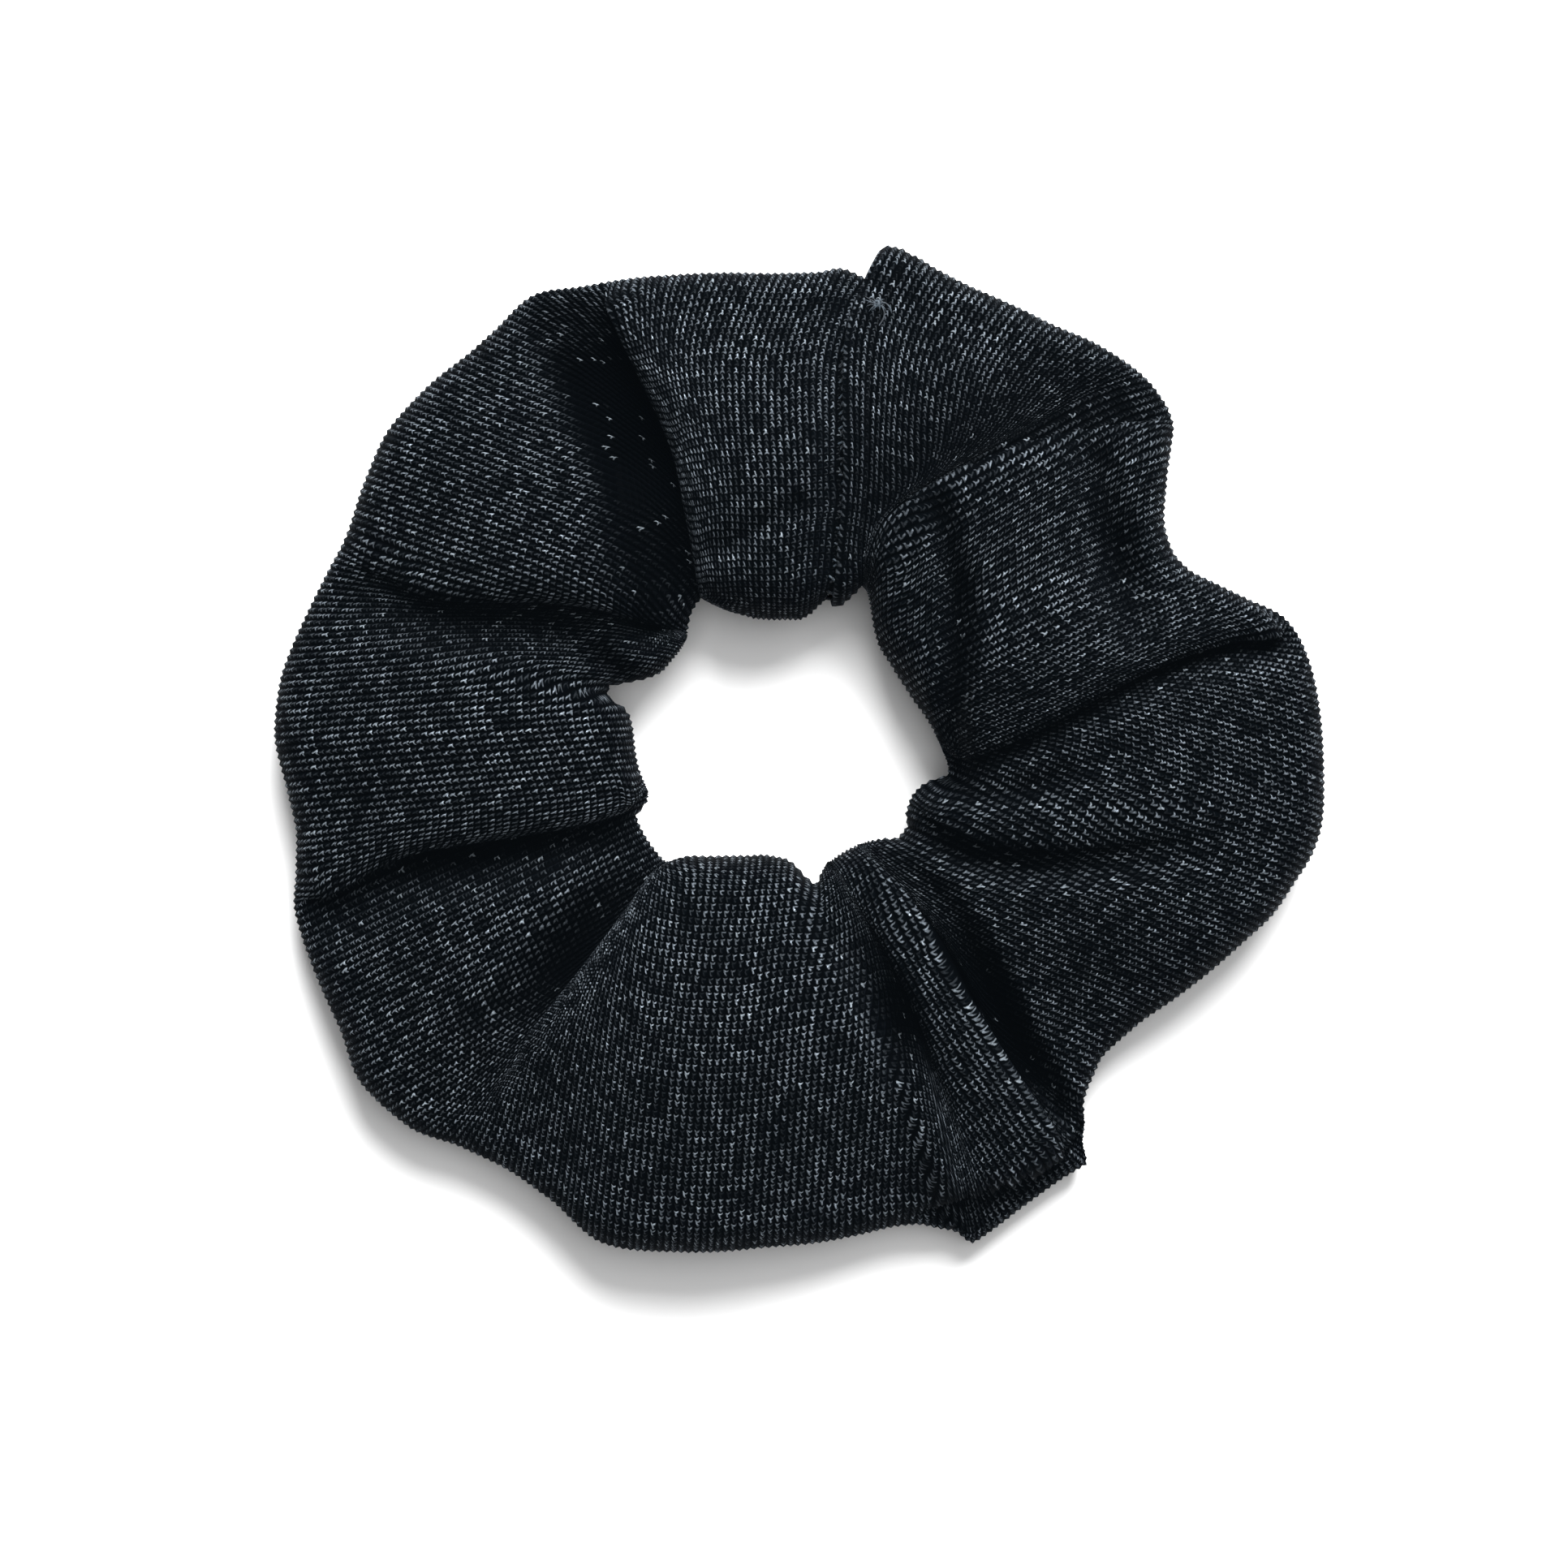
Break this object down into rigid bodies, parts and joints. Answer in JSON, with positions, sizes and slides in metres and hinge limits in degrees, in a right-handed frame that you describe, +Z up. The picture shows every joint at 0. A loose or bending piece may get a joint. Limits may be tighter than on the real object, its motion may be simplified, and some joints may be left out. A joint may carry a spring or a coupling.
{
  "type": "scrunchie",
  "caption": "Gathered ring of dark ribbed metallic knit fabric round a hidden loop of flat elastic, used to hold a ponytail.",
  "frame": {"origin": "on the table, under the middle of the ring's outline", "axes": "+Z up, out of the table; +X along the ring's longest way across; +Y along its shorter way across"},
  "size_m": [0.1149, 0.1107, 0.0198],
  "materials": {
    "knit_fabric": "ribbed knit with fine metallic yarn, blue-black, sparkling",
    "braided_elastic": "matt braid",
    "sewing_thread": "matt twisted polyester"
  },
  "bodies": {
    "cover": {"fabric_cover": "knit_fabric", "tube_seam_needle_thread": "sewing_thread", "tube_seam_upper_looper_thread": "sewing_thread", "tube_seam_lower_looper_thread": "sewing_thread", "closing_thread": "sewing_thread"},
    "elastic": {"elastic_band": "braided_elastic", "elastic_join_needle_thread": "sewing_thread", "elastic_join_bobbin_thread": "sewing_thread"}
  },
  "joints": [
    {"name": "elastic_slip", "type": "hinge", "parent": "cover", "child": "elastic", "pos_m": [-0.0016, 0.0012, 0.0065], "axis": [0, 0, 1], "continuous": true}
  ]
}
